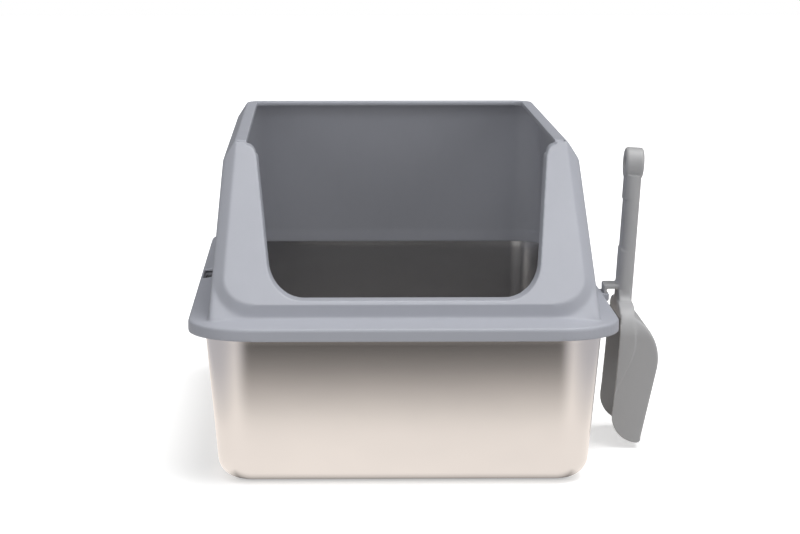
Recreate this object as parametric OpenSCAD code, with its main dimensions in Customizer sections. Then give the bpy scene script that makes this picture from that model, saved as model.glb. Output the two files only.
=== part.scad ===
// High-sided cat litter box: a drawn steel pan, a moulded enclosure that caps its rim,
// and a sifting scoop that hangs on the enclosure's right side.
// Millimetres. +Z is up, -Y is the front with the entrance, +X is the scoop's side.
// The origin is the middle of the pan's flat underside.

/* [Overall] */
// Width across the enclosure's skirt
box_w = 400; // [360:1:460]
// Length from the front of the skirt to its back
box_l = 600; // [520:1:700]
// Height of the enclosure's top rim above the pan's underside
box_h = 305; // [280:1:360]
// Radius of the skirt's corners, seen from above
skirt_corner = 60; // [48:1:75]

/* [Pan] */
// Height of the pan's rolled rim
pan_h = 148.2; // [125:0.1:165]
// Thickness of the steel sheet
sheet = 0.8; // [0.6:0.1:1.2]
// Distance from the skirt's outer face in to the pan's wall
pan_inset = 15; // [13:0.5:17]
// Draft of the pan's walls, in degrees from upright
pan_draft = 5.2; // [2:0.1:7]
// Radius between the pan's walls and its floor
pan_floor_round = 20; // [12:1:26]
// Outer radius of the curl along the rim
curl_r = 2.5; // [2:0.1:3]
// Gap between the curl and the inside of the skirt
curl_gap = 0.5; // [0.4:0.1:1]

/* [Pads] */
// Diameter of one stick-on pad
pad_d = 30; // [20:1:40]
// Thickness of one pad
pad_t = 2; // [1.5:0.1:3]
// Distance of a pad's centre from the flat floor's edge
pad_inset = 26; // [20:1:60]

/* [Enclosure] */
// Wall thickness of the moulding
wall = 2.5; // [2:0.1:3.5]
// Height of the skirt's upright face
skirt_h = 12; // [9:0.5:20]
// Rise of the flange from the skirt to the front wall
flange_rise = 4; // [0:0.5:6]
// Width of the flange beside the side and back walls
flange_w = 20; // [18:0.5:24]
// Depth of the drip edge that hangs inside the pan, below the flange
drip_h = 14; // [8:1:20]
// Clearance between the curl and the underside of the flange
seat_gap = 0.3; // [0.2:0.05:0.6]
// Lean of the side walls, in degrees from upright
side_lean = 4.35; // [2:0.05:7]
// Lean of the back wall, in degrees from upright
back_lean = 6; // [2:0.1:9]
// Height of the bevel between the walls and the top rim
top_bevel_h = 17; // [10:1:24]
// Width of the bevel between the walls and the top rim
top_bevel_w = 11; // [6:0.5:14]
// Radius of the back corners at the flange
back_corner = 38; // [32:1:44]
// Width of the top rim
rim_w = 11; // [8:0.5:14]
// Height of the edge turned down inside the top rim
rim_drop = 5; // [3:0.5:8]

/* [Front] */
// Lean of the front panel, in degrees from upright
face_lean = 39.4; // [30:0.1:42]
// Distance from the skirt's front to the panel's lower edge
face_foot = 28; // [25:0.5:34]
// Height of the panel's lower edge above the flange's outer edge
face_lift = 17; // [14:0.5:22]
// How far the panel stands out from the front wall behind it
face_rise = 8; // [5:0.5:10]
// Width of the bevel round the panel
face_bevel = 9.5; // [6:0.5:12]
// Radius of the panel's lower corners
face_corner = 29; // [20:1:36]

/* [Entrance] */
// Width of the entrance where its sides meet the lower corners
entry_w = 253; // [200:1:262]
// Spread of the entrance's sides, in degrees from upright
entry_spread = 7.4; // [3:0.1:9]
// Radius of the entrance's lower corners
entry_corner = 36; // [24:1:44]
// Height of the panel's strip below the entrance
entry_sill = 3.3; // [2:0.1:8]
// Depth of the lip turned in round the entrance
lip_depth = 18; // [10:1:24]
// Draft of the lip's upright sides, in degrees
lip_draft = 4.5; // [0:0.5:6]
// Radius of the uprights' top inner corners
upright_round = 9.5; // [6:0.5:10]

/* [Slots] */
// Length of the slot in each side flange
slot_l = 54; // [40:1:80]
// Width of the slot
slot_w = 8.8; // [6:0.1:10]
// Wall left between the slot and the skirt's outer face
slot_wall = 2.7; // [2.5:0.1:4]

/* [Scoop holder] */
// Place of the holder and scoop, behind the skirt's front
holder_y = 218; // [190:1:300]
// Height of the holder's rim above the skirt's lower edge
holder_h = 7.8; // [7:0.1:9]
// Wall thickness of the holder
holder_wall = 1.8; // [1.5:0.1:2.5]
// Clearance round the hook in the holder
hook_gap = 0.35; // [0.3:0.05:0.6]
// Solid land between the skirt's face and the holder's pocket
holder_land = 3.6; // [3:0.1:6]

/* [Scoop] */
// Height of the hook's upper face above the holder's rim
hook_rise = 8.3; // [7:0.1:12]
// Thickness of the hook's bar
hook_bar = 4.5; // [3.5:0.1:6]
// Thickness of the hook's leg
hook_leg = 2.8; // [2.2:0.1:4]
// Free space between the hook's leg and the handle
hook_reach = 10.6; // [8:0.1:14]
// Width of the handle and of the hook
handle_w = 31; // [26:1:36]
// Thickness of the handle
handle_t = 15.4; // [13:0.1:20]
// Width of the hook on the handle's back
hook_w = 24; // [18:1:28]
// Length of the finger recess in the handle
recess_l = 54; // [40:1:64]
// Depth of the finger recess
recess_depth = 0.9; // [0.5:0.1:1.4]
// Length of the handle from the neck to the middle of the eye
handle_l = 137; // [110:1:160]
// Lean of the handle, in degrees from upright
handle_lean = 3.4; // [0:0.1:5]
// Outer diameter of the eye
eye_d = 31.4; // [28:0.1:36]
// Length of the eye along its bore
eye_t = 18; // [16:0.1:24]
// Rounding of the eye's edges
eye_round = 3; // [1:0.1:4]
// Bore of the eye, to hang the scoop on a hook
eye_bore = 14; // [10:0.5:18]
// Width across the blade
blade_w = 100; // [90:1:120]
// Length of the blade from its tip to the neck
blade_l = 134; // [120:1:142]
// Depth of the blade at its heel
blade_depth = 37.6; // [32:0.1:46]
// Lean of the blade's floor, in degrees from upright
blade_lean = 12; // [6:0.1:14]
// Radius of the blade's heel, seen from the side
heel_round = 48; // [40:1:56]
// Radius of the side walls' lower corners, seen from the side
tip_round = 27; // [20:1:30]
// Radius of the blade's shoulders, seen from the box
shoulder_round = 30; // [22:1:40]
// How far the side walls flare towards the box, below the heel
open_flare = 7.4; // [4:0.1:9]
// How far the strip along the open edge stands out
strip_out = 1; // [0.6:0.1:1.6]
// Length over which that strip narrows
strip_l = 66; // [50:1:76]
// Radius of the hollow rounds between handle and shoulders
neck_fillet = 10; // [5:1:14]
// Wall thickness of the blade
blade_wall = 2.2; // [1.8:0.1:3]
// Width of one sifting slot
sift_w = 7; // [5:0.5:9]
// Distance from one sifting slot to the next
sift_pitch = 12; // [11:0.5:16]

/* [Hidden] */

$fn = 64;
thin = 0.02;
past = 1;

// Colours, as the object shows them
steel_grey = [0.80, 0.79, 0.77];
moulding_grey = [0.62, 0.63, 0.67];
scoop_grey = [0.58, 0.58, 0.58];
rubber_grey = [0.30, 0.30, 0.31];

// ---- Levels and lines of the pan ----
front_y = -box_l / 2;
back_y = box_l / 2;
pan_mouth_w = box_w - 2 * pan_inset;
pan_mouth_l = box_l - 2 * pan_inset;
pan_corner = skirt_corner - pan_inset;
curl_centre = pan_inset - wall - curl_gap - curl_r;
floor_half_w = pan_mouth_w / 2 - pan_h * tan(pan_draft);
floor_half_l = pan_mouth_l / 2 - pan_h * tan(pan_draft);

// ---- Levels and lines of the enclosure ----
seat_z = pan_h + seat_gap;
flange_z = seat_z + wall;
skirt_z = flange_z - skirt_h;
front_wall_z = flange_z + flange_rise;
wall_foot_z = seat_z + 1;
bevel_z = box_h - top_bevel_h;
inside_top_z = box_h - wall;
drip_z = front_wall_z - drip_h;
face_z = flange_z + face_lift;
rim_half_w = half_w(box_h);
rim_back_y = wall_back_y(box_h);

function half_w(z) =
    z <= front_wall_z ? box_w / 2 - flange_w
    : z <= bevel_z ? box_w / 2 - flange_w - (z - front_wall_z) * tan(side_lean)
    : half_w(bevel_z) - (z - bevel_z) * top_bevel_w / top_bevel_h;

function wall_back_y(z) =
    z <= front_wall_z ? back_y - flange_w
    : z <= bevel_z ? back_y - flange_w - (z - front_wall_z) * tan(back_lean)
    : wall_back_y(bevel_z) - (z - bevel_z) * top_bevel_w / top_bevel_h;

function face_y(z) = front_y + face_foot + (z - face_z) * tan(face_lean);

function wall_front_y(z) = face_y(max(z, front_wall_z)) + face_rise / cos(face_lean);

function back_round(z) = back_corner - (half_w(front_wall_z) - half_w(z)) * 0.9;

// Points of an arc about c, from angle a0 to a1 in n steps
function arc(c, r, a0, a1, n) =
    [for (i = [0:n]) let (a = a0 + (a1 - a0) * i / n) c + r * [cos(a), sin(a)]];

// ---- Shared shapes ----

// Rectangle with true round corners, about the origin
module rounded_rect(w, l, r) {
    square([w - 2 * r, l], center = true);
    square([w, l - 2 * r], center = true);
    for (sx = [-1, 1], sy = [-1, 1])
        translate([sx * (w / 2 - r), sy * (l / 2 - r)])
            circle(r);
}

// Sweeps a profile round a rounded rectangle. The profile's x is measured outwards from
// the path and its y is the height.
module around(w, l, r) {
    for (turn = [0, 1]) {
        across = turn == 0 ? w : l;
        along = turn == 0 ? l : w;
        for (flip = [0, 180])
            rotate(turn * 90 + flip) {
                translate([across / 2, along / 2 - r, 0])
                    rotate([90, 0, 0])
                        linear_extrude(along - 2 * r)
                            children();
                translate([across / 2 - r, along / 2 - r, 0])
                    rotate_extrude(angle = 90, $fn = 96)
                        translate([r, 0])
                            children();
            }
    }
}

// ---- Steel pan ----

// Solid of the pan's inside or outside: walls with draft, a round floor edge and
// corners that share one centre line
module pan_form(inset, top) {
    r = pan_floor_round - inset;
    steps = 6;
    centre_in = r / cos(pan_draft) - r * tan(pan_draft) + inset / cos(pan_draft)
        - inset * tan(pan_draft);
    hull() {
        for (i = [0:steps]) {
            a = (90 - pan_draft) * i / steps;
            grow = r * sin(a) - centre_in;
            pan_slice(inset + r * (1 - cos(a)), grow);
        }
        pan_slice(top, top * tan(pan_draft) - inset / cos(pan_draft));
    }
}

// One level of the pan, grown from the outline where the walls would meet the floor
module pan_slice(z, grow) {
    half = floor_half_w + grow;
    translate([0, 0, z])
        linear_extrude(thin)
            rounded_rect(2 * half, 2 * (floor_half_l + grow),
                         max(4, pan_corner - (pan_mouth_w / 2 - half)), $fn = 48);
}

// Section of the rim: a flat flange of sheet that ends in an open curl
module rim_section() {
    translate([-sheet, pan_h - sheet])
        square([curl_centre + sheet, sheet]);
    translate([curl_centre, pan_h - curl_r])
        difference() {
            circle(curl_r, $fn = 48);
            circle(curl_r - sheet, $fn = 48);
            translate([-2 * curl_r, -curl_r])
                square([2 * curl_r, curl_r * 1.4]);
        }
}

module steel_pan() {
    color(steel_grey) {
        difference() {
            pan_form(0, pan_h - sheet / 2);
            pan_form(sheet, pan_h + past);
        }
        around(pan_mouth_w, pan_mouth_l, pan_corner)
            rim_section();
    }
}

// ---- Pads under the pan ----
module pad(sx, sy) {
    color(rubber_grey)
        translate([sx * (floor_half_w - pan_floor_round - pad_inset),
                   sy * (floor_half_l - pan_floor_round - pad_inset), -pad_t])
            cylinder(h = pad_t, r1 = pad_d / 2 - pad_t / 2, r2 = pad_d / 2);
}

// ---- Enclosure ----

// Four posts at one level, which the hull joins into the walls
module wall_posts(z, inset) {
    rf = 5;
    rb = back_round(z);
    for (sx = [-1, 1]) {
        translate([sx * (half_w(z) - rf), wall_front_y(z) + rf, z])
            cylinder(r = rf - inset, h = thin, $fn = 24);
        translate([sx * (half_w(z) - rb), wall_back_y(z) - rb, z])
            cylinder(r = rb - inset, h = thin);
    }
}

// Puts its children on the front panel: x across, y up the slope, z out of it
module on_face() {
    translate([0, face_y(face_z), face_z])
        rotate([90 - face_lean, 0, 0])
            children();
}

// Outline of the front panel in its own plane
module face_outline(grow) {
    top = (box_h - face_z) / cos(face_lean) + 12;
    r = face_corner + grow;
    slope = tan(side_lean) * cos(face_lean);
    foot = half_w(face_z) - 1.5 - face_bevel + grow;
    for (sx = [-1, 1])
        translate([sx * (foot - r * (1 + slope)), r - grow])
            circle(r);
    polygon([[-foot + r, 1 - grow], [foot - r, 1 - grow],
             [foot - slope * r, r - grow], [foot - slope * top, top],
             [-foot + slope * top, top], [-foot + slope * r, r - grow]]);
}

// Section of the walls across the box, as wide as the panel may be
module wall_section(inset) {
    polygon([[-half_w(0) + inset, drip_z], [half_w(0) - inset, drip_z],
             [half_w(0) - inset, front_wall_z], [half_w(bevel_z) - inset, bevel_z],
             [rim_half_w - inset, box_h], [-rim_half_w + inset, box_h],
             [-half_w(bevel_z) + inset, bevel_z], [-half_w(0) + inset, front_wall_z]]);
}

// The raised front panel, from the wall behind it out to its face
module panel_form(inset) {
    intersection() {
        on_face()
            hull() {
                translate([0, 0, -face_rise - wall - inset])
                    linear_extrude(wall)
                        face_outline(face_bevel - inset);
                translate([0, 0, -inset - 0.3])
                    linear_extrude(0.3)
                        face_outline(-inset);
            }
        translate([0, back_y, 0])
            rotate([90, 0, 0])
                linear_extrude(box_l)
                    wall_section(inset);
    }
}

// Drip edge: a ring under the flange that follows the inside of the pan's rim
module drip_outline(inset) {
    in = flange_w + inset;
    rounded_rect(box_w - 2 * in, box_l - 2 * in, skirt_corner - in);
}

module drip_edge() {
    translate([0, 0, drip_z])
        linear_extrude(flange_z + wall / 2 - drip_z)
            difference() {
                drip_outline(0);
                drip_outline(wall);
            }
}

// What is hollow inside the walls. At the flange it stays inside the drip edge, so that
// the flange closes the front corners.
module wall_hollow() {
    floor_z = front_wall_z - wall;
    intersection() {
        wall_form(wall, drip_z - past, inside_top_z);
        union() {
            translate([0, 0, drip_z - past])
                linear_extrude(box_h)
                    drip_outline(wall);
            translate([-box_w / 2, -box_l / 2, floor_z])
                cube([box_w, box_l, box_h]);
        }
    }
}

// Walls as one solid: inset 0 is the outside, inset wall the inside
module wall_form(inset, low, high) {
    hull()
        for (z = [low, front_wall_z, bevel_z, high])
            wall_posts(z, inset);
}

// Section of the skirt and flange. x is measured from the skirt's outer face.
module flange_section() {
    reach = face_foot + face_rise;
    slope = flange_rise / face_foot;
    edge = 3;
    land = pan_inset - curl_centre + curl_r + 1;
    polygon(concat(
        [[-wall, skirt_z], [0, skirt_z]],
        arc([-edge, flange_z - edge], edge, 0, 82, 5),
        [[-reach, flange_z + slope * reach],
         [-reach, seat_z + slope * reach],
         [-land, seat_z], [-wall, seat_z]]));
}

// Solid that fills the entrance, seen from the front. Its sides spread upwards and draw in
// towards the back, as the lip does.
module entrance(grow) {
    r = entry_corner + grow;
    sill = face_z + entry_sill;
    knee = sill + entry_corner;
    top = box_h + 20;
    draw = tan(lip_draft);
    spread = tan(entry_spread) + draw * tan(face_lean);
    hull()
        for (y = [front_y, front_y + face_foot + 180]) {
            half = entry_w / 2 + grow - draw * (y - face_y(knee));
            translate([0, y, 0])
                rotate([90, 0, 0])
                    linear_extrude(thin) {
                        for (sx = [-1, 1])
                            translate([sx * (half - r), knee])
                                circle(r);
                        polygon([[-half, knee], [half, knee],
                                 [half + spread * (top - knee), top],
                                 [-half - spread * (top - knee), top]]);
                    }
        }
}

// What the lip and the opening leave off the uprights' top inner corners, front view
module upright_corner(grow) {
    z = inside_top_z - upright_round;
    x = rim_half_w - rim_w;
    inner = upright_round - grow;
    for (sx = [-1, 1])
        scale([sx, 1])
            translate([x, z])
                difference() {
                    translate([-2 * upright_round, 0])
                        square([2 * upright_round + grow, upright_round + wall]);
                    circle(inner);
                    square([upright_round, inner]);
                }
}

// The same corners as solids that run back from the front
module corner_solid(grow) {
    rotate([90, 0, 0])
        linear_extrude(box_l / 2)
            upright_corner(grow);
}

// Lip turned in round the entrance, between the panel and a plane behind it
module entrance_lip() {
    intersection() {
        union() {
            entrance(wall);
            corner_solid(wall);
        }
        on_face()
            translate([-box_w / 2, -20, -lip_depth * cos(face_lean)])
                cube([box_w, box_h, lip_depth * cos(face_lean) - wall / 2]);
        translate([-box_w / 2, front_y, skirt_z])
            cube([box_w, box_l, inside_top_z + wall / 2 - skirt_z]);
    }
}

// Everything open above the top rim, in plan. It runs out past the front.
module top_opening(grow) {
    w = 2 * (rim_half_w - rim_w + grow);
    l = rim_back_y - rim_w + grow - front_y;
    r = max(4, back_round(box_h) - rim_w + grow);
    translate([0, front_y + l / 2])
        rounded_rect(w, l, r);
}

// Edge turned down inside the top rim, along the sides and the back
module rim_edge() {
    intersection() {
        translate([0, 0, box_h - rim_drop])
            linear_extrude(rim_drop - wall / 2)
                difference() {
                    top_opening(1.8);
                    top_opening(0);
                }
        on_face()
            translate([-box_w / 2, -20, -2 * box_l])
                cube([box_w, 2 * box_h, 2 * box_l - wall / 2]);
    }
}

// Slot through the side flange, over the pan's rim
module side_slot(sx) {
    translate([sx * (box_w / 2 - slot_wall - slot_w / 2), 0, seat_z - past])
        linear_extrude(2 * wall + flange_rise)
            rounded_rect(slot_w, slot_l, 1.5);
}

// Small ribs inside the skirt that steady it on the curl
module skirt_ribs() {
    for (sx = [-1, 1], y = [-slot_l / 3, slot_l / 3])
        translate([sx * (box_w / 2 - wall - curl_gap / 4), y, skirt_z + 4])
            cube([curl_gap / 2 + 0.1, 6, 7], center = true);
}

// Blind pocket on the skirt that takes the hook's leg
holder_pocket_t = hook_leg + 2 * hook_gap;
holder_out = holder_land + holder_pocket_t + holder_wall;
holder_half = hook_w / 2 + hook_gap + holder_wall;
hook_foot_z = skirt_z + holder_wall + hook_gap;

module scoop_holder() {
    r = 2;
    translate([box_w / 2 - wall, front_y + holder_y, skirt_z])
        difference() {
            linear_extrude(holder_h) {
                translate([0, -holder_half])
                    square([wall + holder_out - r, 2 * holder_half]);
                translate([0, -holder_half + r])
                    square([wall + holder_out, 2 * (holder_half - r)]);
                for (sy = [-1, 1])
                    translate([wall + holder_out - r, sy * (holder_half - r)])
                        circle(r);
            }
            translate([wall + holder_land, -holder_half + holder_wall, holder_wall])
                cube([holder_pocket_t, 2 * (holder_half - holder_wall), holder_h]);
        }
}

module enclosure() {
    color(moulding_grey)
        difference() {
            union() {
                difference() {
                    union() {
                        wall_form(0, wall_foot_z, box_h - thin);
                        panel_form(0);
                        around(box_w, box_l, skirt_corner)
                            flange_section();
                    }
                    wall_hollow();
                    panel_form(wall);
                }
                drip_edge();
                entrance_lip();
                rim_edge();
                skirt_ribs();
                scoop_holder();
            }
            entrance(0);
            translate([0, 0, inside_top_z])
                linear_extrude(2 * wall)
                    top_opening(0);
            corner_solid(0);
            side_slot(-1);
            side_slot(1);
        }
}

// ---- Scoop ----
scoop_y = front_y + holder_y;
leg_x = box_w / 2 + holder_land + hook_gap;
hook_top_z = skirt_z + holder_h + hook_rise;
handle_in_x = leg_x + hook_leg + hook_reach;
neck_z = hook_top_z - 17;
neck_x = handle_in_x + handle_t / 2 - (hook_top_z - neck_z) * tan(handle_lean);
tip_z = neck_z - blade_l;

// Heel, floor and tip of the blade, in the plane across the box (x, z)
open_x = neck_x - handle_t / 2;
heel = [open_x + blade_depth - heel_round, neck_z - blade_l * 0.38];
floor_x = heel[0] + heel_round * cos(blade_lean);
floor_z = heel[1] - heel_round * sin(blade_lean);
tip_x = floor_x - (floor_z - tip_z) * tan(blade_lean);
flare_z = tip_z + tip_round - 1;

// Side view of the open edge, from the tip's round up to the neck
open_edge =
    [for (i = [1:8]) let (t = i / 8)
        [open_x - open_flare * pow(1 - t, 1.5), flare_z + t * (neck_z - 2 - flare_z)]];

// Side view of the blade's outside
heel_top_z = heel[1] + heel_round * sin(58);
blade_outline = concat(
    [[open_x, neck_z], [open_x + handle_t, neck_z], [open_x + handle_t - 0.5, heel_top_z]],
    arc(heel, heel_round, 54, -blade_lean, 12),
    [[tip_x, tip_z + 1], [tip_x - 3, tip_z - 1]],
    arc([open_x + tip_round - open_flare, tip_z + tip_round - 1], tip_round, 266, 178, 9),
    open_edge);

// Side view of the raised strip that carries the handle on round the shoulders and
// runs out along the open edge
strip_outline = concat(
    [[open_x - open_flare - 1, flare_z + 6]],
    [for (i = [0:8]) let (t = i / 8, s = t * t * (3 - 2 * t))
        [open_x - open_flare + (handle_t + open_flare - 0.8) * s, flare_z + 8 + t * strip_l]],
    [[open_x + handle_t - 0.8, neck_z + 2], [open_x - open_flare - 1, neck_z + 2]]);

// Side view of the blade's inside, open towards the box and at the tip
blade_hollow = concat(
    [[open_x - blade_depth, heel_top_z - blade_wall]],
    arc(heel, heel_round - blade_wall, 58, -blade_lean, 12),
    [[tip_x - blade_wall - blade_depth * tan(blade_lean), tip_z - blade_depth],
     [open_x - blade_depth, tip_z - blade_depth]]);

// The blade seen from the box: wide, with round shoulders
module blade_front(inset, foot) {
    r = shoulder_round - inset;
    half = blade_w / 2 - inset;
    top = neck_z - inset;
    for (sy = [-1, 1])
        translate([sy * (half - r), top - r])
            circle(r);
    translate([-half + r, top - r])
        square([2 * (half - r), r]);
    translate([-half, foot])
        square([2 * half, top - r - foot]);
}

module blade_solid(inset, foot, outline) {
    intersection() {
        translate([0, scoop_y + blade_w / 2 - inset, 0])
            rotate([90, 0, 0])
                linear_extrude(blade_w - 2 * inset)
                    polygon(outline);
        translate([open_x - blade_depth, scoop_y, 0])
            rotate([90, 0, 90])
                linear_extrude(3 * blade_depth)
                    blade_front(inset, foot);
    }
}

// Everything on the bowl's side of its open edge
module blade_edge() {
    translate([0, scoop_y + blade_w, 0])
        rotate([90, 0, 0])
            linear_extrude(2 * blade_w)
                polygon(concat(
                    [[open_x + 3 * blade_depth, neck_z + 5],
                     [open_x + 3 * blade_depth, flare_z], [open_x - open_flare, flare_z]],
                    open_edge, [[open_x, neck_z + 5]]));
}

// Hollow rounds between the handle and the shoulders, seen from the box
module neck_fillets() {
    f = neck_fillet;
    translate([open_x + 1.7, scoop_y, neck_z + strip_out])
        rotate([90, 0, 90])
            linear_extrude(handle_t - 3.4)
                for (sy = [-1, 1])
                    scale([sy, 1])
                        difference() {
                            translate([handle_w / 2 - 3, -1])
                                square([f + 3, f + 1]);
                            translate([handle_w / 2 + f - 0.4, f])
                                circle(f, $fn = 32);
                        }
}

// Row of long slots through the blade's floor
module sifting_slots() {
    count = floor((blade_w - 3 * sift_w) / sift_pitch / 2);
    long = (floor_z - tip_z) - 18;
    translate([floor_x, scoop_y, floor_z])
        rotate([0, blade_lean, 0])
            for (i = [-count:count])
                translate([-8, i * sift_pitch, -long / 2 - 4])
                    rotate([90, 0, 90])
                        linear_extrude(16) {
                            square([sift_w, long - sift_w], center = true);
                            for (s = [-1, 1])
                                translate([0, s * (long - sift_w) / 2])
                                    circle(sift_w / 2, $fn = 24);
                        }
}

// Disc of the eye with rounded edges, about the z axis
module eye_disc() {
    rotate_extrude($fn = 96)
        intersection() {
            translate([0, -eye_t / 2])
                square([eye_d / 2, eye_t]);
            translate([eye_d / 2 - 2 * eye_t, 0])
                rounded_rect(4 * eye_t, eye_t, eye_round);
        }
}

// Handle with full round edges, shallow side recesses and the eye at its end
module scoop_handle() {
    translate([neck_x, scoop_y, neck_z])
        rotate([0, handle_lean, 0])
            difference() {
                union() {
                    translate([0, 0, -8])
                        linear_extrude(handle_l + 8 - eye_d / 3)
                            rounded_rect(handle_t, handle_w, handle_t / 2 - 0.5);
                    translate([0, 0, handle_l])
                        rotate([0, 90, 0])
                            eye_disc();
                }
                translate([-eye_t, 0, handle_l])
                    rotate([0, 90, 0])
                        cylinder(h = 2 * eye_t, d = eye_bore);
                translate([0, 0, handle_l * 0.56])
                    finger_recess();
            }
}

// Shallow recess across the handle's side towards the box. It fades out half-way round
// the narrow sides.
module finger_recess() {
    intersection() {
        rotate([90, 0, 0])
            linear_extrude(2 * handle_w, center = true) {
                square([1.5 * handle_t, recess_l - 1.5 * handle_t], center = true);
                for (s = [-1, 1])
                    translate([0, s * (recess_l / 2 - 0.75 * handle_t)])
                        circle(0.75 * handle_t);
            }
        linear_extrude(2 * recess_l, center = true)
            difference() {
                translate([-handle_t, -handle_w])
                    square([handle_t, 2 * handle_w]);
                translate([recess_depth, 0])
                    rounded_rect(handle_t, handle_w, handle_t / 2 - 0.5, $fn = 48);
            }
    }
}

// Hook that reaches from the handle over to the holder and down into it
module scoop_hook() {
    round_over = 1.6;
    translate([0, scoop_y + hook_w / 2, 0])
        rotate([90, 0, 0])
            linear_extrude(hook_w) {
                translate([leg_x, hook_top_z - hook_bar])
                    square([handle_in_x + 4 - leg_x, hook_bar - round_over]);
                translate([leg_x + round_over, hook_top_z - hook_bar])
                    square([handle_in_x + 4 - leg_x - round_over, hook_bar]);
                translate([leg_x + round_over, hook_top_z - round_over])
                    circle(round_over, $fn = 24);
                translate([leg_x, hook_foot_z])
                    square([hook_leg, hook_top_z - round_over - hook_foot_z]);
            }
}

module scoop() {
    color(scoop_grey) {
        difference() {
            union() {
                blade_solid(0, tip_z - past, blade_outline);
                intersection() {
                    blade_solid(-strip_out, tip_z - past, strip_outline);
                    blade_edge();
                }
            }
            blade_solid(blade_wall, tip_z - blade_depth / 2, blade_hollow);
            sifting_slots();
        }
        neck_fillets();
        scoop_handle();
        scoop_hook();
    }
}

steel_pan();
enclosure();
scoop();
pad(-1, -1);  // pad_front_left
pad(1, -1);  // pad_front_right
pad(-1, 1);  // pad_back_left
pad(1, 1);  // pad_back_right
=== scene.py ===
"""Litter box with a drawn steel pan, an open-topped enclosure and a sifting scoop.

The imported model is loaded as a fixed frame. The pan is modelled again as one smooth
sheet, the two mouldings get their soft edges, every surface gets its own finish, and
the whole stands on a pale studio floor.
"""

from __future__ import annotations

import logging
import math
from dataclasses import dataclass
from enum import Enum
from typing import Callable, Sequence

import bpy
import bmesh
import numpy as np
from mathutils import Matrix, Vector


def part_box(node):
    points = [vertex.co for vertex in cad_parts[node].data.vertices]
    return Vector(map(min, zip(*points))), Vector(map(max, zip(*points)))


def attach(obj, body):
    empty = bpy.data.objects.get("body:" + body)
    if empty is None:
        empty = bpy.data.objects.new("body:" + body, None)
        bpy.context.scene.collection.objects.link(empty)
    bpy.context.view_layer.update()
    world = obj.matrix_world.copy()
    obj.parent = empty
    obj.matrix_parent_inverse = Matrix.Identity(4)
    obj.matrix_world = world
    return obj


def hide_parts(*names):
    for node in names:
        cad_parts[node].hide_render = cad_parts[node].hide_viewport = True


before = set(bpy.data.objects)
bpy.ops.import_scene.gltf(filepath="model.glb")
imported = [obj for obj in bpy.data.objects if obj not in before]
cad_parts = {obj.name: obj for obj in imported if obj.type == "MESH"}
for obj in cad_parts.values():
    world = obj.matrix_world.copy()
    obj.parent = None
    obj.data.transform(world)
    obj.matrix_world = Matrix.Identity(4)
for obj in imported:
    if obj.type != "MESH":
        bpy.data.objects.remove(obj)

logging.basicConfig(level=logging.INFO, format="%(levelname)s %(message)s")
log = logging.getLogger("litter_box")

MM = 0.001
MERGE_IN_COPY = 0.12 * MM
MERGE_DOUBLES = 0.002 * MM
NOISE_LOW = 0.3
NOISE_HIGH = 0.7
SMOOTH_SHARE = 0.5

Colour = tuple[float, float, float]
Point = tuple[float, float, float]
Level = tuple[float, float]
Axis = np.ndarray
Mask = np.ndarray


class Body(Enum):
    """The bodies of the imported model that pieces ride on."""

    PAN = "pan"
    ENCLOSURE = "enclosure"
    SCOOP = "scoop"


class Slot(Enum):
    """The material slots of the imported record."""

    STEEL = "steel"
    MOULDING = "moulding"
    SCOOP = "scoop_plastic"
    RUBBER = "pad_rubber"


# ---------------------------------------------------------------------------
# Hand tools
# ---------------------------------------------------------------------------


def deselect_all() -> None:
    """Leave edit mode and clear the selection."""
    if bpy.context.mode != "OBJECT":
        bpy.ops.object.mode_set(mode="OBJECT")
    bpy.ops.object.select_all(action="DESELECT")


def take(piece: bpy.types.Object) -> None:
    """Make a piece the only selected one, and the active one.

    Args:
        piece: The object to work on.
    """
    deselect_all()
    piece.select_set(True)
    bpy.context.view_layer.objects.active = piece


def edit(piece: bpy.types.Object, kind: str = "FACE") -> None:
    """Go into edit mode on a piece.

    Args:
        piece: The object to work on.
        kind: Selection mode, as VERT, EDGE or FACE.
    """
    take(piece)
    bpy.ops.object.mode_set(mode="EDIT")
    bpy.ops.mesh.select_mode(type=kind)


def pick(piece: bpy.types.Object, kind: str, wanted: Callable[..., bool]) -> int:
    """Select the parts of the mesh in edit mode that pass a test.

    Args:
        piece: The object in edit mode.
        kind: What is selected, as VERT, EDGE or FACE.
        wanted: Test that takes a bmesh vertex, edge or face.

    Returns:
        How many were selected.
    """
    bpy.ops.mesh.select_all(action="DESELECT")
    bpy.ops.mesh.select_mode(type=kind)
    mesh = bmesh.from_edit_mesh(piece.data)
    parts = {"VERT": mesh.verts, "EDGE": mesh.edges, "FACE": mesh.faces}[kind]
    found = 0
    for part in parts:
        if wanted(part):
            part.select_set(True)
            found += 1
    mesh.select_flush_mode()
    bmesh.update_edit_mesh(piece.data)
    return found


def face_outwards(piece: bpy.types.Object) -> None:
    """Merge doubles and make the normals of a piece consistent.

    Args:
        piece: The object to mend.
    """
    edit(piece)
    bpy.ops.mesh.select_all(action="SELECT")
    bpy.ops.mesh.remove_doubles(threshold=MERGE_DOUBLES)
    bpy.ops.mesh.normals_make_consistent(inside=False)
    deselect_all()


def apply_modifier(
    piece: bpy.types.Object, kind: str, **settings: float | int | str | bool
) -> None:
    """Add a modifier, set it and apply it.

    Args:
        piece: The object to modify.
        kind: The modifier's type, such as BEVEL or SOLIDIFY.
        settings: Its settings by name.
    """
    take(piece)
    bpy.ops.object.modifier_add(type=kind)
    modifier = piece.modifiers[-1]
    for name, value in settings.items():
        setattr(modifier, name, value)
    bpy.ops.object.modifier_apply(modifier=modifier.name)


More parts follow.
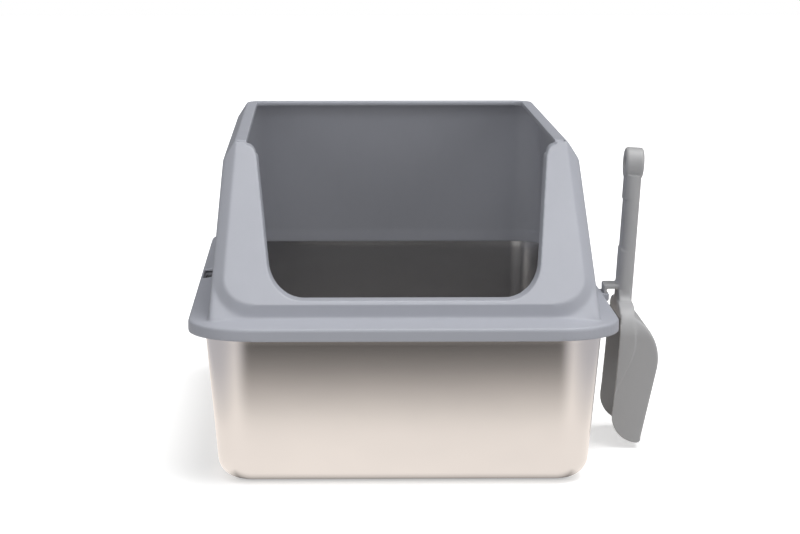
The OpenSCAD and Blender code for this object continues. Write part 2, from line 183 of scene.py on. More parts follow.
def smooth(piece: bpy.types.Object, degrees: float = 30.0) -> None:
    """Shade a piece smooth, with sharp edges above an angle.

    Args:
        piece: The object to shade.
        degrees: Angle from which an edge stays sharp.
    """
    take(piece)
    bpy.ops.object.shade_smooth_by_angle(angle=math.radians(degrees))
    deselect_all()


def settle(piece: bpy.types.Object) -> None:
    """Put a piece's place into its mesh.

    Args:
        piece: The object whose location, turn and scale are applied.
    """
    take(piece)
    bpy.ops.object.transform_apply(location=True, rotation=True, scale=True)
    deselect_all()


def copy_of_node(node: str, name: str) -> bpy.types.Object:
    """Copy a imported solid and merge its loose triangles.

    Args:
        node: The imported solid's name.
        name: Name of the new piece.

    Returns:
        The new piece, with its own mesh.
    """
    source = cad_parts[node]
    piece = source.copy()
    piece.data = source.data.copy()
    piece.name = name
    piece.data.name = name
    piece.parent = None
    bpy.context.scene.collection.objects.link(piece)
    edit(piece)
    bpy.ops.mesh.select_all(action="SELECT")
    bpy.ops.mesh.remove_doubles(threshold=MERGE_IN_COPY)
    deselect_all()
    return piece


def register(
    piece: bpy.types.Object,
    body: Body,
    material: bpy.types.Material,
    nodes: Sequence[str] = (),
) -> bpy.types.Object:
    """Dress a finished piece and tie it to its body.

    Args:
        piece: The finished piece.
        body: The body that it rides on.
        material: Its finish.
        nodes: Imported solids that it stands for.

    Returns:
        The piece.
    """
    piece.data.materials.clear()
    piece.data.materials.append(material)
    if nodes:
        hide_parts(*nodes)
    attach(piece, body.value)
    log.info(
        "%s: %d faces, on %s, in %s",
        piece.name,
        len(piece.data.polygons),
        body.value,
        material.name,
    )
    return piece


# ---------------------------------------------------------------------------
# Finishes
# ---------------------------------------------------------------------------


class NodeBench:
    """Small workbench that adds and joins the nodes of one material."""

    def __init__(self, name: str) -> None:
        """Start a material with an empty tree.

        Args:
            name: The material's name.
        """
        self.material = bpy.data.materials.new(name)
        self.material.use_nodes = True
        self.tree = self.material.node_tree
        self.tree.nodes.clear()
        self.output = self.add("ShaderNodeOutputMaterial")
        self.place = self.add("ShaderNodeTexCoord")

    def add(self, kind: str, **settings: object) -> bpy.types.Node:
        """Add a node.

        Args:
            kind: The node's type.
            settings: Its properties by name.

        Returns:
            The new node.
        """
        node = self.tree.nodes.new(kind)
        for name, value in settings.items():
            setattr(node, name, value)
        return node

    def join(self, start: bpy.types.NodeSocket, end: bpy.types.NodeSocket) -> None:
        """Join two sockets."""
        self.tree.links.new(start, end)

    def shader(
        self, colour: Colour, roughness: float, metallic: float = 0.0
    ) -> bpy.types.Node:
        """Add the Principled shader and join it to the output.

        Args:
            colour: Base colour, linear.
            roughness: Roughness where no pattern reaches it.
            metallic: 1 for bare metal.

        Returns:
            The shader node.
        """
        node = self.add("ShaderNodeBsdfPrincipled")
        node.inputs["Base Color"].default_value = (*colour, 1.0)
        node.inputs["Roughness"].default_value = roughness
        node.inputs["Metallic"].default_value = metallic
        self.join(node.outputs["BSDF"], self.output.inputs["Surface"])
        return node

    def grain(
        self,
        stretch: Point,
        scale: float = 1.0,
        detail: float = 3.0,
        roughness: float = 0.55,
    ) -> bpy.types.NodeSocket:
        """Add noise on Object coordinates.

        Args:
            stretch: Scale along x, y and z, in waves per metre.
            scale: Scale of the noise itself.
            detail: Octaves of the noise.
            roughness: Share of the fine octaves.

        Returns:
            The noise's value.
        """
        mapping = self.add("ShaderNodeMapping")
        mapping.inputs["Scale"].default_value = stretch
        self.join(self.place.outputs["Object"], mapping.inputs["Vector"])
        noise = self.add("ShaderNodeTexNoise")
        noise.inputs["Scale"].default_value = scale
        noise.inputs["Detail"].default_value = detail
        noise.inputs["Roughness"].default_value = roughness
        self.join(mapping.outputs["Vector"], noise.inputs["Vector"])
        return noise.outputs["Fac"]

    def spread(
        self, value: bpy.types.NodeSocket, low: float, high: float
    ) -> bpy.types.NodeSocket:
        """Map the middle of a noise's range to a low and a high value.

        Args:
            value: The noise.
            low: Result at NOISE_LOW and below.
            high: Result at NOISE_HIGH and above.

        Returns:
            The mapped value.
        """
        node = self.add("ShaderNodeMapRange")
        node.inputs["From Min"].default_value = NOISE_LOW
        node.inputs["From Max"].default_value = NOISE_HIGH
        node.inputs["To Min"].default_value = low
        node.inputs["To Max"].default_value = high
        self.join(value, node.inputs["Value"])
        return node.outputs["Result"]

    def ramp(
        self, value: bpy.types.NodeSocket, start: float, end: float, kind: str
    ) -> bpy.types.NodeSocket:
        """Map a distance to a share from 0 to 1.

        Args:
            value: The distance.
            start: Distance with share 0.
            end: Distance with share 1.
            kind: Interpolation, as LINEAR or SMOOTHSTEP.

        Returns:
            The share.
        """
        node = self.add("ShaderNodeMapRange", interpolation_type=kind)
        node.inputs["From Min"].default_value = start
        node.inputs["From Max"].default_value = end
        self.join(value, node.inputs["Value"])
        return node.outputs["Result"]

    def tint(
        self, share: bpy.types.NodeSocket, first: Colour, second: Colour
    ) -> bpy.types.NodeSocket:
        """Mix two colours.

        Args:
            share: Share of the second colour.
            first: Colour at 0.
            second: Colour at 1.

        Returns:
            The mixed colour.
        """
        node = self.add("ShaderNodeMix", data_type="RGBA")
        node.inputs[6].default_value = (*first, 1.0)
        node.inputs[7].default_value = (*second, 1.0)
        self.join(share, node.inputs[0])
        return node.outputs[2]

    def blend(
        self,
        first: bpy.types.NodeSocket,
        first_share: float,
        second: bpy.types.NodeSocket,
        second_share: float,
    ) -> bpy.types.NodeSocket:
        """Add two patterns by their shares.

        Args:
            first: The first pattern.
            first_share: Its share.
            second: The second pattern.
            second_share: Its share.

        Returns:
            The sum.
        """
        total = self.add("ShaderNodeMath", operation="MULTIPLY_ADD")
        total.inputs[1].default_value = first_share
        self.join(first, total.inputs[0])
        part = self.add("ShaderNodeMath", operation="MULTIPLY")
        part.inputs[1].default_value = second_share
        self.join(second, part.inputs[0])
        self.join(part.outputs["Value"], total.inputs[2])
        return total.outputs["Value"]

    def relief(
        self,
        shader: bpy.types.Node,
        heights: Sequence[tuple[bpy.types.NodeSocket, float, float]],
    ) -> None:
        """Add bumps one on another and join them to the shader.

        Args:
            shader: The Principled node.
            heights: For each bump its height, strength and depth in metres.
        """
        previous: bpy.types.NodeSocket | None = None
        for height, strength, depth in heights:
            bump = self.add("ShaderNodeBump")
            bump.inputs["Strength"].default_value = strength
            bump.inputs["Distance"].default_value = depth
            self.join(height, bump.inputs["Height"])
            if previous is not None:
                self.join(previous, bump.inputs["Normal"])
            previous = bump.outputs["Normal"]
        if previous is not None:
            self.join(previous, shader.inputs["Normal"])


@dataclass(frozen=True)
class SatinSteel:
    """Drawn stainless sheet with a fine satin grain.

    Lines run round the walls, and along the floor.
    """

    name: str = "satin_steel"
    colour: Colour = (0.66, 0.645, 0.63)
    cloudy: Colour = (0.63, 0.617, 0.605)
    smoothest: float = 0.212
    roughest: float = 0.226
    line_length: float = 14.0
    line_pitch: float = 5200.0
    cloud_pitch: Point = (9.0, 9.0, 14.0)
    cloud_share: float = 0.35
    line_strength: float = 0.02
    line_depth: float = 0.01 * MM

    def make(self) -> bpy.types.Material:
        """Build the material.

        Returns:
            The material.
        """
        bench = NodeBench(self.name)
        shader = bench.shader(self.colour, self.roughest, metallic=1.0)
        long, fine = self.line_length, self.line_pitch
        wall_lines = bench.grain((long, long, fine), detail=2.0)
        floor_lines = bench.grain((fine, long, long), detail=2.0)
        clouds = bench.grain(self.cloud_pitch, detail=3.0)
        upright = bench.add("ShaderNodeSeparateXYZ")
        bench.join(bench.place.outputs["Normal"], upright.inputs["Vector"])
        flat = bench.add("ShaderNodeMath", operation="ABSOLUTE")
        bench.join(upright.outputs["Z"], flat.inputs[0])
        lines = bench.add("ShaderNodeMix", data_type="FLOAT")
        bench.join(flat.outputs["Value"], lines.inputs[0])
        bench.join(wall_lines, lines.inputs[2])
        bench.join(floor_lines, lines.inputs[3])
        both = bench.blend(
            clouds, self.cloud_share, lines.outputs[0], 1.0 - self.cloud_share
        )
        bench.join(
            bench.spread(both, self.smoothest, self.roughest),
            shader.inputs["Roughness"],
        )
        bench.join(
            bench.tint(bench.spread(clouds, 0.0, 1.0), self.colour, self.cloudy),
            shader.inputs["Base Color"],
        )
        bench.relief(
            shader, [(lines.outputs[0], self.line_strength, self.line_depth)]
        )
        return bench.material


@dataclass(frozen=True)
class MouldedPlastic:
    """Injection-moulded plastic with a fine, even, matt texture."""

    name: str
    colour: Colour
    faded: Colour
    smoothest: float
    roughest: float
    refraction: float = 1.46
    texture_strength: float = 0.35
    texture_depth: float = 0.05 * MM
    texture_pitch: float = 1400.0
    swell_pitch: Point = (16.0, 16.0, 16.0)
    swell_strength: float = 0.12
    swell_depth: float = 0.5 * MM

    def make(self) -> bpy.types.Material:
        """Build the material.

        Returns:
            The material.
        """
        bench = NodeBench(self.name)
        shader = bench.shader(self.colour, self.roughest)
        shader.inputs["IOR"].default_value = self.refraction
        texture = bench.grain((1.0, 1.0, 1.0), scale=self.texture_pitch, detail=2.0)
        clouds = bench.grain((7.0, 7.0, 7.0), detail=4.0, roughness=0.6)
        rubbed = bench.grain((60.0, 60.0, 24.0), detail=5.0, roughness=0.7)
        mixed = bench.blend(rubbed, 0.5, clouds, 0.5)
        bench.join(
            bench.spread(mixed, self.smoothest, self.roughest),
            shader.inputs["Roughness"],
        )
        bench.join(
            bench.tint(bench.spread(mixed, 0.0, 1.0), self.colour, self.faded),
            shader.inputs["Base Color"],
        )
        swell = bench.grain(self.swell_pitch, detail=1.0)
        bench.relief(
            shader,
            [
                (swell, self.swell_strength, self.swell_depth),
                (texture, self.texture_strength, self.texture_depth),
            ],
        )
        return bench.material


@dataclass(frozen=True)
class PadRubber:
    """Dark rubber of the stick-on pads, a little dusty."""

    name: str = "pad_rubber"
    colour: Colour = (0.050, 0.050, 0.052)
    dusty: Colour = (0.095, 0.093, 0.090)

    def make(self) -> bpy.types.Material:
        """Build the material.

        Returns:
            The material.
        """
        bench = NodeBench(self.name)
        shader = bench.shader(self.colour, 0.8)
        dust = bench.grain((90.0, 90.0, 90.0), detail=5.0, roughness=0.7)
        grain = bench.grain((1.0, 1.0, 1.0), scale=1800.0, detail=2.0)
        bench.join(
            bench.tint(bench.spread(dust, 0.0, 1.0), self.colour, self.dusty),
            shader.inputs["Base Color"],
        )
        bench.join(bench.spread(dust, 0.7, 0.92), shader.inputs["Roughness"])
        bench.relief(shader, [(grain, 0.5, 0.08 * MM)])
        return bench.material


# ---------------------------------------------------------------------------
# Steel pan
# ---------------------------------------------------------------------------


@dataclass
class SteelPan:
    """Drawn pan: one smooth sheet from the curl of its rim to its floor."""

    steel: bpy.types.Material
    mouth_half: float = 185.0
    length_more: float = 100.0
    corner_less: float = 140.0
    height: float = 148.2
    sheet: float = 0.8
    curl_radius: float = 2.5
    curl_out: float = 9.5
    draft: float = 5.2
    floor_round: float = 20.0
    mouth_round: float = 1.6
    flat_rim: float = 3.0
    wall_stops: tuple[float, ...] = (132.0, 110.0, 88.0, 66.0, 44.0, 28.0)
    corner_steps: int = 28
    floor_steps: int = 12
    curl_steps: int = 5
    curl_turn: float = 18.0

    def wall_half(self, z: float) -> float:
        """Half the inside width at a height, in millimetres."""
        lean = math.tan(math.radians(self.draft))
        drop = (self.height - z) * lean
        return self.mouth_half - drop - self.sheet / math.cos(math.radians(self.draft))

    def inside_levels(self) -> list[Level]:
        """Half widths and heights down the inside skin, from the curl inwards.

        Returns:
            Pairs of half width and height, in millimetres.
        """
        centre = self.mouth_half + self.curl_out
        low = self.height - self.curl_radius
        levels: list[Level] = []
        for step in range(1, 7):
            turn = math.radians(15 * step)
            levels.append(
                (
                    centre + self.curl_radius * math.cos(turn),
                    low + self.curl_radius * math.sin(turn),
                )
            )
        bend = self.mouth_round
        top = self.wall_half(self.height)
        levels.append((top + bend + self.flat_rim, self.height))
        for step in range(5):
            turn = math.radians((90 - self.draft) * step / 4)
            levels.append(
                (
                    top + bend * (1 - math.sin(turn)),
                    self.height - bend * (1 - math.cos(turn)),
                )
            )
        for z in self.wall_stops:
            levels.append((self.wall_half(z), z))
        radius = self.floor_round - self.sheet
        foot = self.mouth_half - self.height * math.tan(math.radians(self.draft))
        lean = math.radians(self.draft)
        inward = (radius + self.sheet) * (1 / math.cos(lean) - math.tan(lean))
        for step in range(self.floor_steps, -1, -1):
            turn = math.radians((90 - self.draft) * step / self.floor_steps)
            levels.append(
                (
                    foot + radius * math.sin(turn) - inward,
                    self.sheet + radius * (1 - math.cos(turn)),
                )
            )
        levels.append((foot - inward - 6.0, self.sheet))
        return levels

    def build(self) -> bpy.types.Object:
        """Model the pan.

        Returns:
            The finished piece.
        """
        start_half = self.mouth_half + self.curl_out + self.curl_radius
        start_z = self.height - self.curl_radius
        deselect_all()
        bpy.ops.mesh.primitive_plane_add(size=2.0, location=(0.0, 0.0, start_z * MM))
        pan = bpy.context.active_object
        pan.name = "steel_pan_sheet"
        edit(pan)
        bpy.ops.mesh.select_all(action="SELECT")
        centre = (0.0, 0.0, start_z * MM)
        bpy.ops.transform.resize(
            value=(start_half * MM, (start_half + self.length_more) * MM, 1.0),
            center_override=centre,
        )
        bpy.ops.mesh.bevel(
            offset=(start_half - self.corner_less) * MM,
            segments=self.corner_steps,
            affect="VERTICES",
        )
        bpy.ops.mesh.select_all(action="SELECT")
        half, z = start_half, start_z
        for next_half, next_z in self.inside_levels():
            bpy.ops.mesh.inset(
                thickness=max(half - next_half, 0.0005) * MM,
                depth=(next_z - z) * MM,
                use_even_offset=True,
            )
            half, z = next_half, next_z
        self.roll_under(pan, start_half, start_z)
        deselect_all()
        settle(pan)
        face_outwards(pan)
        self.check_up(pan)
        apply_modifier(
            pan, "SOLIDIFY", thickness=self.sheet * MM, offset=-1.0, use_even_offset=True
        )
        smooth(pan, 40.0)
        return register(
            pan, Body.PAN, self.steel, nodes=("steel_pan",)
        )

    def roll_under(self, pan: bpy.types.Object, half: float, z: float) -> None:
        """Carry the curl on under the rim.

        Args:
            pan: The pan in edit mode.
            half: Half width of the open edge, in millimetres.
            z: Height of the open edge, in millimetres.
        """
        pick(pan, "EDGE", lambda edge: edge.is_boundary)
        centre = self.mouth_half + self.curl_out
        for step in range(1, self.curl_steps + 1):
            turn = math.radians(-self.curl_turn * step)
            next_half = centre + self.curl_radius * math.cos(turn)
            next_z = self.height - self.curl_radius * (1 - math.sin(turn))
            bpy.ops.mesh.extrude_region_move(
                TRANSFORM_OT_translate={"value": (0.0, 0.0, (next_z - z) * MM)}
            )
            bpy.ops.transform.resize(
                value=(
                    next_half / half,
                    (next_half + self.length_more) / (half + self.length_more),
                    1.0,
                ),
                center_override=(0.0, 0.0, next_z * MM),
            )
            half, z = next_half, next_z

    @staticmethod
    def check_up(pan: bpy.types.Object) -> None:
        """Turn the skin over if its floor looks down.

        Args:
            pan: The open skin.
        """
        floor = min(pan.data.polygons, key=lambda face: face.center.z)
        if floor.normal.z < 0:
            edit(pan)
            bpy.ops.mesh.select_all(action="SELECT")
            bpy.ops.mesh.flip_normals()
            deselect_all()


# ---------------------------------------------------------------------------
# Enclosure and scoop
# ---------------------------------------------------------------------------


@dataclass(frozen=True)
class SoftZone:
    """A part of a moulding whose folds are rounder than its thin edges.

    The test takes the coordinates of all points as arrays, in millimetres.
    """

    name: str
    rounds: int
    holds: Callable[[Axis, Axis, Axis], Mask]


@dataclass
class Moulding:
    """A moulded piece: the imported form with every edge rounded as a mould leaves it."""

    node: str
    name: str
    body: Body
    slot: Slot
    plastic: bpy.types.Material
    grain: float
    rounds: int
    triangles: int
    zones: tuple[SoftZone, ...] = ()

    def build(self) -> bpy.types.Object:
        """Copy the form, soften its edges and thin its flat parts.

        Returns:
            The finished piece.
        """
        piece = copy_of_node(self.node, self.name)
        grain = self.grain * 1.0
        apply_modifier(
            piece, "REMESH", mode="VOXEL", voxel_size=grain * MM, adaptivity=0.0
        )
        even = (self.grain / grain) ** 2
        apply_modifier(
            piece,
            "SMOOTH",
            factor=SMOOTH_SHARE,
            iterations=max(1, round(self.rounds * even)),
        )
        for zone in self.zones:
            self.soften(piece, zone, max(1, round(zone.rounds * even)))
        share = self.triangles / (2.0 * len(piece.data.polygons))
        apply_modifier(piece, "DECIMATE", ratio=min(1.0, share))
        smooth(piece, 60.0)
        return register(piece, self.body, self.plastic, nodes=(self.node,))

    @staticmethod
    def soften(piece: bpy.types.Object, zone: SoftZone, rounds: int) -> None:
        """Round the folds of one zone.

        Args:
            piece: The piece, evenly meshed.
            zone: The zone to round.
            rounds: How often each point moves towards its neighbours.
        """
        places = np.zeros(len(piece.data.vertices) * 3)
        piece.data.vertices.foreach_get("co", places)
        x, y, z = places.reshape(-1, 3).T / MM
        group = piece.vertex_groups.new(name=zone.name)
        chosen = np.nonzero(zone.holds(x, y, z))[0]
        group.add(chosen.tolist(), 1.0, "REPLACE")
        apply_modifier(
            piece,
            "SMOOTH",
            factor=SMOOTH_SHARE,
            iterations=rounds,
            vertex_group=zone.name,
        )
        piece.vertex_groups.clear()
        log.info("%s: %d points softened %d times", zone.name, len(chosen), rounds)


@dataclass(frozen=True)
class EnclosureZones:
    """Folds of the enclosure that are rounder than its rims, in millimetres."""

    panel_foot_y: float = -272.0
    panel_foot_z: float = 168.0
    panel_slope: float = 0.82
    entry_half: float = 126.5

    def panel_y(self, z: Axis) -> Axis:
        """Place of the raked front panel at a height."""
        return self.panel_foot_y + self.panel_slope * (z - self.panel_foot_z)

    def beside_entrance(self, x: Axis, y: Axis, z: Axis) -> Mask:
        """Folds of the panel beside the entrance."""
        clear = self.entry_half + 12.0 + 0.13 * np.maximum(z - 207.0, 0.0)
        near = np.abs(y - self.panel_y(z) - 16.0) < 22.0
        return (np.abs(x) > clear) & near & (z > 157.0) & (z < 295.0)

    def under_entrance(self, x: Axis, y: Axis, z: Axis) -> Mask:
        """Fold between the panel and the riser under the entrance."""
        return (np.abs(x) < 152.0) & (z > 150.5) & (z < 168.6) & (y < -255.0)

    def wall_foot(self, x: Axis, y: Axis, z: Axis) -> Mask:
        """Hollow fold where the walls grow out of the flange."""
        side = (np.abs(x) > 170.0) & (np.abs(x) < 187.0)
        ends = (y > 270.0) | ((y < -262.0) & (y > -286.0))
        return (side | ends) & (z > 150.0) & (z < 164.0)

    def shoulder(self, x: Axis, y: Axis, z: Axis) -> Mask:
        """Fold where the side and back walls turn in under the rim."""
        outside = (np.abs(x) > 160.0) | (y > 255.0)
        return outside & (z > 281.0) & (z < 295.0)

    def all(self) -> tuple[SoftZone, ...]:
        """List the zones.

        Returns:
            The zones in the order in which they are rounded.
        """
        return (
            SoftZone("panel_folds", 16, self.beside_entrance),
            SoftZone("sill_fold", 10, self.under_entrance),
            SoftZone("wall_foot", 18, self.wall_foot),
            SoftZone("shoulder", 10, self.shoulder),
        )


@dataclass(frozen=True)
class ScoopZones:
    """Folds of the scoop that are rounder than its open edge, in millimetres."""

    middle_y: float = -82.0
    half: float = 50.0
    heel_x: float = 205.9
    heel_z: float = 87.2
    heel_round: float = 48.0
    lean: float = 12.0

    def depth(self, x: Axis, z: Axis) -> Axis:
        """Distance inwards from the bowl's floor and heel."""
        turn = math.radians(self.lean)
        flat = (x - self.heel_x) * math.cos(turn) - (z - self.heel_z) * math.sin(turn)
        round_part = np.hypot(x - self.heel_x, z - self.heel_z)
        over = (z - self.heel_z) * math.cos(turn) + (x - self.heel_x) * math.sin(turn)
        return self.heel_round - np.where(over > 0.0, round_part, flat)

    def bowl_edges(self, reach: float) -> Callable[[Axis, Axis, Axis], Mask]:
        """Make the test for the long edges of the bowl.

        Args:
            reach: Width of the zone on both sides of an edge.

        Returns:
            The test.
        """

        def holds(x: Axis, y: Axis, z: Axis) -> Mask:
            """Test the points."""
            aside = self.half - np.abs(y - self.middle_y)
            return (
                (self.depth(x, z) < reach) & (aside < reach) & (z > 7.0) & (z < 130.0)
            )

        return holds

    def neck(self, x: Axis, y: Axis, z: Axis) -> Mask:
        """Where the handle runs into the shoulders."""
        return (z > 128.0) & (z < 160.0) & (x > 214.0)

    def all(self) -> tuple[SoftZone, ...]:
        """List the zones.

        Returns:
            The zones in the order in which they are rounded.
        """
        return (
            SoftZone("bowl_edges_wide", 50, self.bowl_edges(13.0)),
            SoftZone("bowl_edges", 40, self.bowl_edges(9.0)),
            SoftZone("neck", 30, self.neck),
        )


@dataclass
class Pads:
    """Four stick-on pads with a rolled edge under the pan."""

    rubber: bpy.types.Material
    nodes: tuple[str, ...] = (
        "pad_front_left",
        "pad_front_right",
        "pad_back_left",
        "pad_back_right",
    )
    foot_share: float = 0.94
    roll: float = 0.5
    border: float = 2.4
    dish_wall: float = 0.5
    dish: float = 0.25
    sides: int = 64

    def build(self) -> list[bpy.types.Object]:
        """Model one pad for each packed one.

        Returns:
            The finished pads.
        """
        return [self.build_one(node) for node in self.nodes]

    def build_one(self, node: str) -> bpy.types.Object:
        """Model the pad that stands for a packed one.

        Args:
            node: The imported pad's name.

        Returns:
            The finished pad.
        """
        low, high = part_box(node)
        middle = (low + high) / 2
        radius = (high.x - low.x) / 2
        deselect_all()
        bpy.ops.mesh.primitive_cylinder_add(
            vertices=self.sides,
            radius=radius,
            depth=high.z - low.z,
            location=middle,
            end_fill_type="NGON",
        )
        pad = bpy.context.active_object
        pad.name = node + "_disc"
        settle(pad)
        edit(pad)
        pick(pad, "FACE", lambda face: face.normal.z < -0.9)
        bpy.ops.transform.resize(
            value=(self.foot_share, self.foot_share, 1.0),
            center_override=(middle.x, middle.y, low.z),
        )
        bpy.ops.mesh.bevel(offset=self.roll * MM, segments=3, affect="EDGES")
        pick(pad, "FACE", lambda face: face.normal.z < -0.99)
        bpy.ops.mesh.inset(thickness=self.border * MM, depth=0.0)
        bpy.ops.mesh.inset(thickness=self.dish_wall * MM, depth=-self.dish * MM)
        deselect_all()
        smooth(pad, 35.0)
        return register(pad, Body.PAN, self.rubber, nodes=(node,))


# ---------------------------------------------------------------------------
# Studio
# ---------------------------------------------------------------------------


@dataclass(frozen=True)
class SoftLamp:
    """A wide, soft light from one direction, even over the whole floor."""

    name: str
    elevation: float
    azimuth: float
    strength: float
    spread: float = 40.0

    def make(self) -> bpy.types.Object:
        """Build the lamp, with azimuth 0 in front and 90 at the right.

        Returns:
            The lamp.
        """
        data = bpy.data.lights.new(self.name, "SUN")
        data.energy = self.strength
        data.angle = math.radians(self.spread)
        lamp = bpy.data.objects.new(self.name, data)
        rise, turn = math.radians(self.elevation), math.radians(self.azimuth)
        comes_from = Vector(
            (
                math.sin(turn) * math.cos(rise),
                -math.cos(turn) * math.cos(rise),
                math.sin(rise),
            )
        )
        lamp.rotation_euler = comes_from.to_track_quat("Z", "Y").to_euler()
        bpy.context.scene.collection.objects.link(lamp)
        return lamp


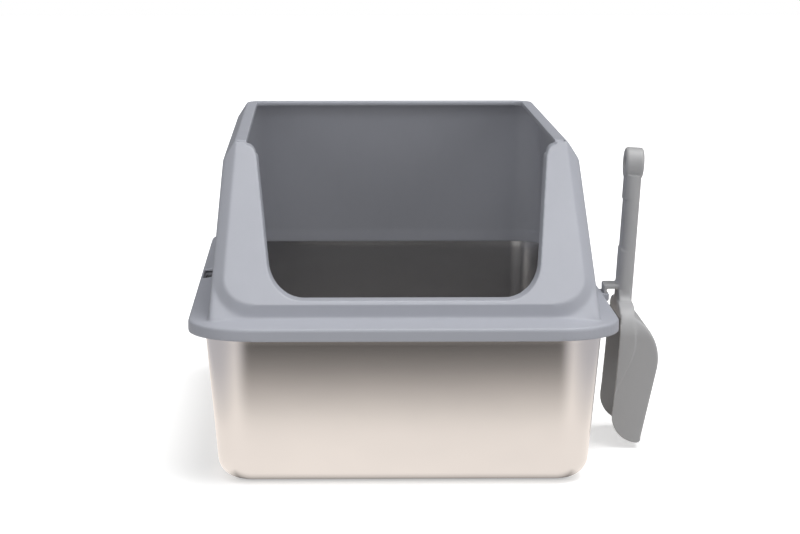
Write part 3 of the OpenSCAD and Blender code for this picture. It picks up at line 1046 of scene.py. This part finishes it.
@dataclass
class Studio:
    """Pale floor, white surroundings, soft lamps and the camera.

    The floor shows glossy rays a painted reflection: a painted highlight near the pan's
    foot, paler painted sides, painted dark further out and a painted contact shade under
    the pan. Its distances are in metres beyond the pan's foot.
    """

    floor_z: float = -2.0 * MM
    floor_size: float = 14.0
    ambient: float = 0.21
    # painted dark reflection: the sky that glossy rays meet is nearly black, darker than
    # the light it gives the object
    painted_dark_sky_reflection: float = 0.02
    floor_colour: Colour = (0.45, 0.45, 0.45)
    floor_seen: Colour = (0.90, 0.90, 0.90)
    floor_lift: float = 0.44
    # painted reflection on the floor, seen by glossy rays only: painted highlight near the
    # pan's foot, paler painted sides, painted dark further out and a painted contact shade
    # under the pan
    painted_near_highlight: Colour = (1.30, 1.20, 1.13)
    painted_side_reflection: Colour = (0.68, 0.66, 0.69)
    painted_far_dark_reflection: Colour = (0.02, 0.02, 0.022)
    foot_half: tuple[tuple[str, float], ...] = (("X", 0.17), ("Y", 0.27))
    painted_reflection_fades: Level = (0.135, 0.34)
    painted_reflection_widens: Level = (0.21, 0.42)
    painted_contact_shade: Level = (-0.024, 0.004)
    lens: float = 105.53
    shift: float = 0.0629
    eye: Point = (-0.07467, -2.380, 0.5556)
    tilt: float = 0.1657
    pan_turn: float = 0.0115
    lamps: tuple[SoftLamp, ...] = (
        SoftLamp("overhead_right", 75.0, 90.0, 1.34),
        SoftLamp("overhead_front", 75.0, 0.0, 0.76),
        SoftLamp("front", 45.0, 0.0, 0.155),
        SoftLamp("back_right", 45.0, 120.0, 0.225),
        SoftLamp("fill_right", 15.0, 50.0, 0.675),
        SoftLamp("fill_left", 15.0, -50.0, 0.39),
        SoftLamp("fill_near_left", 15.0, -20.0, 0.16),
    )

    def build(self) -> None:
        """Build the studio."""
        self.floor()
        self.world()
        for lamp in self.lamps:
            lamp.make()
        self.camera()
        bpy.context.scene.view_settings.view_transform = "Standard"

    def floor(self) -> None:
        """Add the floor, white to the camera and shaded where the object stands; glossy
        rays meet a painted reflection on it instead.
        """
        deselect_all()
        bpy.ops.mesh.primitive_plane_add(
            size=self.floor_size, location=(0.0, 0.0, self.floor_z)
        )
        floor = bpy.context.active_object
        floor.name = "studio_floor"
        bench = NodeBench("studio_floor")
        paper = bench.add("ShaderNodeBsdfDiffuse")
        paper.inputs["Color"].default_value = (*self.floor_colour, 1.0)
        shown = bench.add("ShaderNodeBsdfDiffuse")
        shown.inputs["Color"].default_value = (*self.floor_seen, 1.0)
        lift = bench.add("ShaderNodeEmission")
        lift.inputs["Strength"].default_value = self.floor_lift
        seen = bench.add("ShaderNodeAddShader")
        bench.join(shown.outputs[0], seen.inputs[0])
        bench.join(lift.outputs[0], seen.inputs[1])
        path = bench.add("ShaderNodeLightPath")
        to_camera = bench.add("ShaderNodeMixShader")
        bench.join(path.outputs["Is Camera Ray"], to_camera.inputs[0])
        bench.join(paper.outputs[0], to_camera.inputs[1])
        bench.join(seen.outputs[0], to_camera.inputs[2])
        # glossy rays meet the painted reflection here instead of the floor
        to_metal = bench.add("ShaderNodeMixShader")
        bench.join(path.outputs["Is Glossy Ray"], to_metal.inputs[0])
        bench.join(to_camera.outputs[0], to_metal.inputs[1])
        bench.join(self.painted_reflection(bench), to_metal.inputs[2])
        bench.join(to_metal.outputs[0], bench.output.inputs["Surface"])
        floor.data.materials.append(bench.material)

    def painted_reflection(self, bench: NodeBench) -> bpy.types.NodeSocket:
        """Build the painted reflection that glossy rays meet on the floor: painted
        highlight near the pan, painted dark in front, painted contact shade under it.

        Args:
            bench: The floor's material.

        Returns:
            The shader that glossy rays meet.
        """
        split = bench.add("ShaderNodeSeparateXYZ")
        bench.join(bench.place.outputs["Object"], split.inputs["Vector"])
        sizes: list[bpy.types.NodeSocket] = []
        away: list[bpy.types.NodeSocket] = []
        for axis, half in self.foot_half:
            size = bench.add("ShaderNodeMath", operation="ABSOLUTE")
            bench.join(split.outputs[axis], size.inputs[0])
            sizes.append(size.outputs["Value"])
            beyond = bench.add("ShaderNodeMath", operation="SUBTRACT")
            beyond.inputs[1].default_value = half
            bench.join(size.outputs["Value"], beyond.inputs[0])
            away.append(beyond.outputs["Value"])
        farther = bench.add("ShaderNodeMath", operation="MAXIMUM")
        bench.join(away[0], farther.inputs[0])
        bench.join(away[1], farther.inputs[1])
        # painted reflection: a painted highlight near the pan's foot fading to painted
        # dark in front, paler towards the sides
        fade = bench.ramp(farther.outputs["Value"], *self.painted_reflection_fades, "LINEAR")
        aside = bench.ramp(sizes[0], *self.painted_reflection_widens, "SMOOTHSTEP")
        # painted contact shade: the painted reflection goes dark under the pan's foot
        clear = bench.ramp(farther.outputs["Value"], *self.painted_contact_shade, "SMOOTHSTEP")
        painted_distant_reflection = bench.tint(aside, self.painted_far_dark_reflection, self.painted_side_reflection)
        shown = bench.tint(fade, self.painted_near_highlight, self.painted_far_dark_reflection)
        bench.join(painted_distant_reflection, shown.node.inputs[7])
        # the painted reflection glows as emission though it is no lamp
        painted_reflection = bench.add("ShaderNodeEmission")
        bench.join(shown, painted_reflection.inputs["Color"])
        bench.join(clear, painted_reflection.inputs["Strength"])
        return painted_reflection.outputs[0]

    def world(self) -> None:
        """Make the surroundings white to the camera and plain light to the object, with a
        nearly black sky for glossy rays as a painted dark reflection.
        """
        world = bpy.data.worlds.new("studio")
        bpy.context.scene.world = world
        world.use_nodes = True
        tree = world.node_tree
        tree.nodes.clear()
        path = tree.nodes.new("ShaderNodeLightPath")
        shades: list[bpy.types.Node] = []
        for strength in (self.ambient, self.painted_dark_sky_reflection, 1.0):
            shade = tree.nodes.new("ShaderNodeBackground")
            shade.inputs["Color"].default_value = (1.0, 1.0, 1.0, 1.0)
            shade.inputs["Strength"].default_value = strength
            shades.append(shade)
        # glossy rays meet the nearly black sky, a painted dark reflection
        glossy = tree.nodes.new("ShaderNodeMixShader")
        tree.links.new(path.outputs["Is Glossy Ray"], glossy.inputs[0])
        tree.links.new(shades[0].outputs[0], glossy.inputs[1])
        tree.links.new(shades[1].outputs[0], glossy.inputs[2])
        camera = tree.nodes.new("ShaderNodeMixShader")
        tree.links.new(path.outputs["Is Camera Ray"], camera.inputs[0])
        tree.links.new(glossy.outputs[0], camera.inputs[1])
        tree.links.new(shades[2].outputs[0], camera.inputs[2])
        output = tree.nodes.new("ShaderNodeOutputWorld")
        tree.links.new(camera.outputs[0], output.inputs["Surface"])

    def camera(self) -> None:
        """Set the camera at the photograph's viewing angle."""
        data = bpy.data.cameras.new("view")
        data.lens = self.lens
        data.shift_x = self.shift
        camera = bpy.data.objects.new("view", data)
        camera.location = self.eye
        camera.rotation_euler = (math.pi / 2 - self.tilt, 0.0, -self.pan_turn)
        bpy.context.scene.collection.objects.link(camera)
        bpy.context.scene.camera = camera


def main() -> None:
    """Build the object and its studio."""
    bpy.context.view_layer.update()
    strays = [piece for piece in bpy.data.objects if piece.type in ("LIGHT", "CAMERA")]
    for stray in strays:
        bpy.data.objects.remove(stray)
    steel = SatinSteel().make()
    grey = MouldedPlastic(
        name="enclosure_plastic",
        colour=(0.440, 0.453, 0.503),
        faded=(0.420, 0.433, 0.482),
        smoothest=0.42,
        roughest=0.52,
    ).make()
    scoop_grey = MouldedPlastic(
        name="scoop_plastic",
        colour=(0.462, 0.462, 0.467),
        faded=(0.440, 0.440, 0.446),
        smoothest=0.36,
        roughest=0.46,
    ).make()
    rubber = PadRubber().make()
    SteelPan(steel).build()
    Moulding(
        node="enclosure",
        name="enclosure_shell",
        body=Body.ENCLOSURE,
        slot=Slot.MOULDING,
        plastic=grey,
        grain=1.0,
        rounds=5,
        triangles=190_000,
        zones=EnclosureZones().all(),
    ).build()
    Moulding(
        node="scoop",
        name="scoop_body",
        body=Body.SCOOP,
        slot=Slot.SCOOP,
        plastic=scoop_grey,
        grain=0.6,
        rounds=5,
        triangles=120_000,
        zones=ScoopZones().all(),
    ).build()
    Pads(rubber).build()
    Studio().build()


if __name__ == "__main__":
    main()
